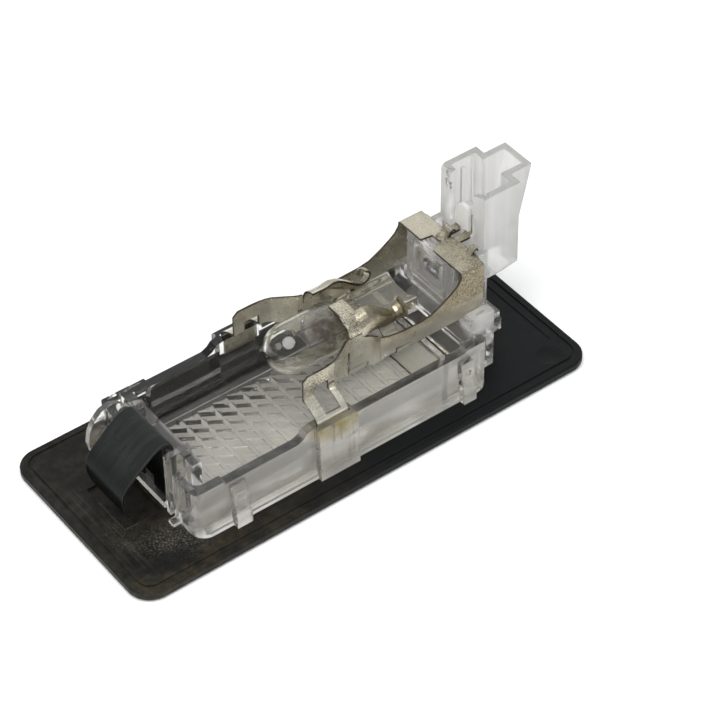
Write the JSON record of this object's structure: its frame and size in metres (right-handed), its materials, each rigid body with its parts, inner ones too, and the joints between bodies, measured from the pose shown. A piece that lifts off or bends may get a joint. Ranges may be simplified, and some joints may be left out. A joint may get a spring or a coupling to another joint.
{
  "type": "number plate lamp",
  "caption": "Rectangular number plate lamp with a black flange, clear prismatic lens housing, spring clip, bulb held by folded contact strips and a plug shroud.",
  "frame": {"origin": "centre of the flange's outer face, which the lamp lies on", "axes": "+X along the flange towards the plug shroud, +Y across the flange, +Z out of the back of the lamp"},
  "size_m": [0.1, 0.0426, 0.037],
  "materials": {
    "black_plastic": "satin moulded plastic, scuffed and dusty",
    "clear_plastic": "clear moulded plastic, slightly hazed, frosted on the plug shroud",
    "spring_steel": "blackened spring steel",
    "contact_metal": "tinned sheet with brown tarnish",
    "bulb_glass": "clear glass",
    "lead_wire": "bare wire",
    "filament_wire": "grey coiled wire"
  },
  "bodies": {
    "root": {"flange_frame": "black_plastic", "lens_housing": "clear_plastic", "spring_clip": "spring_steel", "contact_strip_near": "contact_metal", "contact_strip_far": "contact_metal", "bulb_envelope": "bulb_glass", "bulb_lead_near": "lead_wire", "bulb_lead_far": "lead_wire", "bulb_filament": "filament_wire"}
  },
  "joints": []
}
